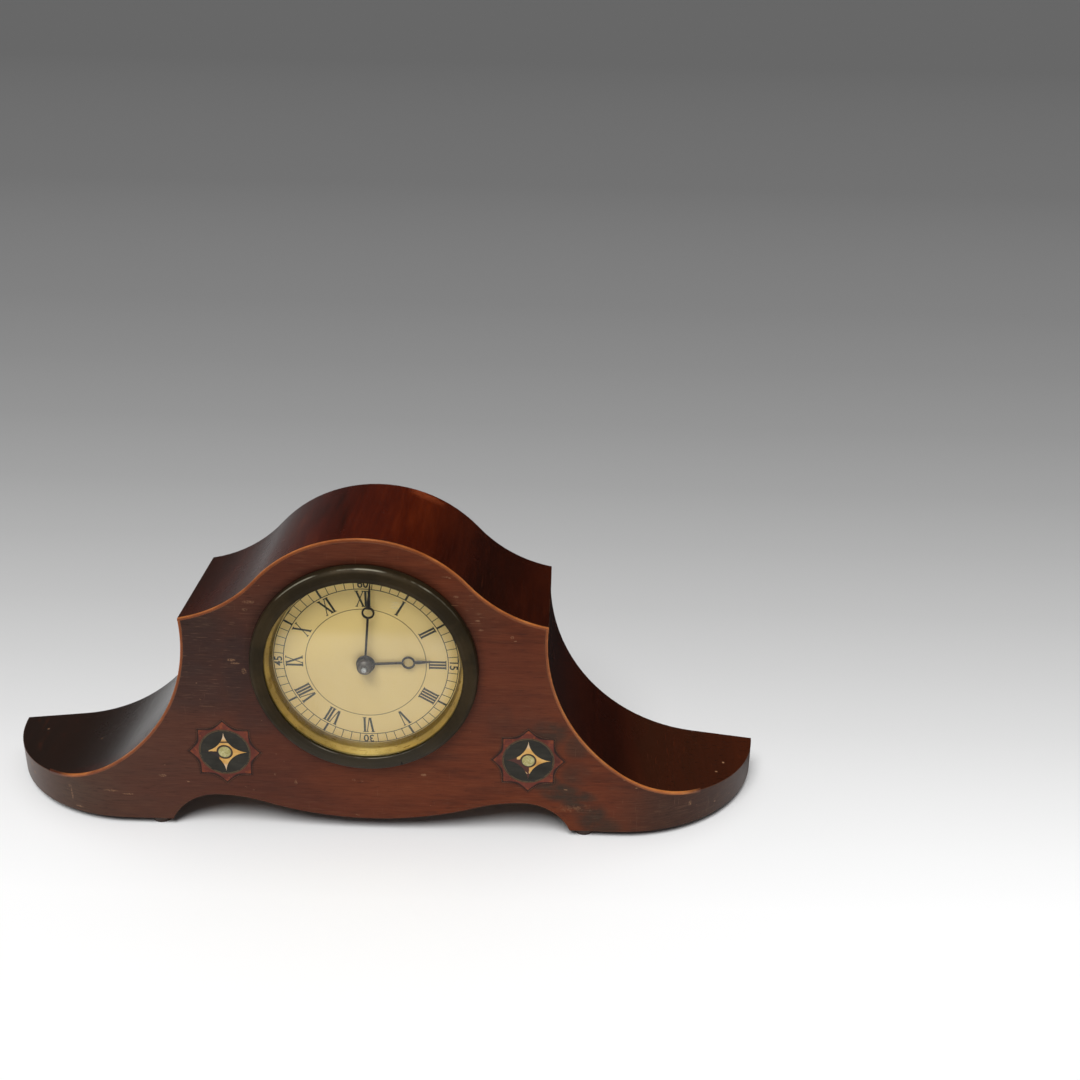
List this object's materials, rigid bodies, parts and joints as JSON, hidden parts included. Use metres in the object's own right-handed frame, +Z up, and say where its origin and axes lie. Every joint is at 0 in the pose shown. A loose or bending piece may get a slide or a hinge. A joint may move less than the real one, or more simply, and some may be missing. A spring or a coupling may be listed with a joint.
{
  "type": "tambour mantel clock",
  "caption": "Inlaid wooden tambour mantel clock with a domed crown, swept sides, round glazed dial with ring hands, hinged back door and a back-wound spring lever movement.",
  "frame": {"origin": "middle of the clock's box, on the surface that its feet stand on", "axes": "+Z up, the dial faces -Y, +X to the right of someone who reads the dial"},
  "size_m": [0.452, 0.092, 0.184],
  "materials": {
    "front_veneer": "worn polish",
    "top_veneer": "glossy polish",
    "carcass_wood": "stained",
    "foot_wood": "satin",
    "boxwood": "polished",
    "red_inlay": "polished",
    "ebony": "polished",
    "satinwood": "polished",
    "green_inlay": "polished",
    "dark_brass": "tarnished",
    "gilt_brass": "polished",
    "glass": "polished",
    "dial_enamel": "satin print",
    "plated_steel": "dull",
    "plate_brass": "brushed",
    "wheel_brass": "polished",
    "steel": "polished",
    "blued_steel": "blued",
    "spring_steel": "tempered",
    "door_brass": "lacquered"
  },
  "bodies": {
    "case": {"front_board": "front_veneer", "back_board": "carcass_wood", "crown_board": "top_veneer", "cove_board_left": "top_veneer", "cove_board_right": "top_veneer", "nose_block_left": "top_veneer", "nose_block_right": "top_veneer", "base_board": "carcass_wood", "corner_blocks": "carcass_wood", "feet": "foot_wood", "stringing_crown": "boxwood", "stringing_left": "boxwood", "stringing_right": "boxwood", "patera_surrounds": "red_inlay", "patera_grounds": "ebony", "patera_stars": "satinwood", "patera_bosses": "green_inlay", "bezel": "dark_brass", "dial_glass": "glass", "sight_ring": "gilt_brass", "dial": "dial_enamel", "dial_pan": "plated_steel", "dial_feet": "plated_steel", "front_plate": "plate_brass", "back_plate": "plate_brass", "plate_pillars": "steel", "balance_cock": "plate_brass", "studs": "steel", "back_ring": "door_brass", "hinge_pin": "steel"},
    "minute_work": {"centre_arbor": "steel", "cannon_pinion": "steel", "minute_hand": "blued_steel", "hand_hub": "blued_steel", "set_knob": "wheel_brass"},
    "minute_wheel_body": {"minute_wheel": "wheel_brass"},
    "hour_work": {"hour_wheel": "wheel_brass", "hour_hand": "blued_steel"},
    "fourth_body": {"fourth_arbor": "steel", "fourth_wheel": "wheel_brass"},
    "third_body": {"third_arbor": "steel", "third_wheel": "wheel_brass"},
    "centre_body": {"centre_pinion": "steel", "centre_wheel": "wheel_brass"},
    "second_body": {"second_arbor": "steel", "second_wheel": "wheel_brass"},
    "barrel_body": {"barrel": "wheel_brass", "barrel_cap": "wheel_brass", "mainspring": "spring_steel"},
    "escape_body": {"escape_wheel": "steel"},
    "pallet_body": {"pallet_lever": "steel"},
    "balance_body": {"balance_wheel": "wheel_brass", "balance_staff": "steel", "hairspring": "spring_steel"},
    "winding_work": {"barrel_arbor": "steel", "ratchet_wheel": "steel", "winding_key": "wheel_brass"},
    "click_body": {"click": "steel"},
    "regulator_body": {"regulator": "steel"},
    "door_body": {"back_door": "door_brass"}
  },
  "joints": [
    {"name": "hand_setting", "type": "hinge", "parent": "case", "child": "minute_work", "pos_m": [0, -0.022, 0.107], "axis": [0, 1, 0], "continuous": true},
    {"name": "minute_wheel_turn", "type": "hinge", "parent": "case", "child": "minute_wheel_body", "pos_m": [-0.01305, -0.022, 0.10091], "axis": [0, 1, 0], "continuous": true},
    {"name": "hour_hand_turn", "type": "hinge", "parent": "case", "child": "hour_work", "pos_m": [0, -0.022, 0.107], "axis": [0, 1, 0], "continuous": true},
    {"name": "fourth_wheel_turn", "type": "hinge", "parent": "case", "child": "fourth_body", "pos_m": [-0.00614, -0.022, 0.13182], "axis": [0, 1, 0], "continuous": true},
    {"name": "third_wheel_turn", "type": "hinge", "parent": "case", "child": "third_body", "pos_m": [-0.01379, -0.022, 0.11857], "axis": [0, 1, 0], "continuous": true},
    {"name": "centre_wheel_turn", "type": "hinge", "parent": "case", "child": "centre_body", "pos_m": [0, -0.022, 0.107], "axis": [0, 1, 0], "continuous": true},
    {"name": "second_wheel_turn", "type": "hinge", "parent": "case", "child": "second_body", "pos_m": [0.01748, -0.022, 0.09982], "axis": [0, 1, 0], "continuous": true},
    {"name": "barrel_turn", "type": "hinge", "parent": "case", "child": "barrel_body", "pos_m": [0, -0.022, 0.0775], "axis": [0, 1, 0], "continuous": true},
    {"name": "escape_wheel_turn", "type": "hinge", "parent": "case", "child": "escape_body", "pos_m": [0.00804, -0.022, 0.12932], "axis": [0, 1, 0], "continuous": true},
    {"name": "pallet_rock", "type": "hinge", "parent": "case", "child": "pallet_body", "pos_m": [0.01549, -0.022, 0.12502], "axis": [0, 1, 0], "range_deg": [-5, 5]},
    {"name": "balance_swing", "type": "hinge", "parent": "case", "child": "balance_body", "pos_m": [0.02818, -0.022, 0.12964], "axis": [0, 1, 0], "range_deg": [-150, 150], "stiffness_Nm_per_rad": 0.00003, "deforming": ["hairspring"]},
    {"name": "winding", "type": "hinge", "parent": "case", "child": "winding_work", "pos_m": [0, -0.022, 0.0775], "axis": [0, -1, 0], "range_deg": [0, 1620]},
    {"name": "click_lift", "type": "hinge", "parent": "case", "child": "click_body", "pos_m": [-0.00866, -0.022, 0.08987], "axis": [0, 1, 0], "range_deg": [0, 14], "stiffness_Nm_per_rad": 0.001, "springref_deg": -5.73},
    {"name": "regulator_shift", "type": "hinge", "parent": "case", "child": "regulator_body", "pos_m": [0.02818, -0.022, 0.12964], "axis": [0, 1, 0], "range_deg": [-20, 20]},
    {"name": "door_swing", "type": "hinge", "parent": "case", "child": "door_body", "pos_m": [0.063, 0.041, 0.107], "axis": [0, 0, -1], "range_deg": [0, 115]}
  ],
  "couplings": [
    {"joint": "minute_wheel_turn", "follows": "hand_setting", "ratio": -0.33333},
    {"joint": "hour_hand_turn", "follows": "hand_setting", "ratio": 0.083333},
    {"joint": "third_wheel_turn", "follows": "fourth_wheel_turn", "ratio": -0.13333},
    {"joint": "centre_wheel_turn", "follows": "fourth_wheel_turn", "ratio": 0.016667},
    {"joint": "second_wheel_turn", "follows": "fourth_wheel_turn", "ratio": -0.0027778},
    {"joint": "barrel_turn", "follows": "fourth_wheel_turn", "ratio": 0.00034722},
    {"joint": "escape_wheel_turn", "follows": "fourth_wheel_turn", "ratio": -8}
  ]
}
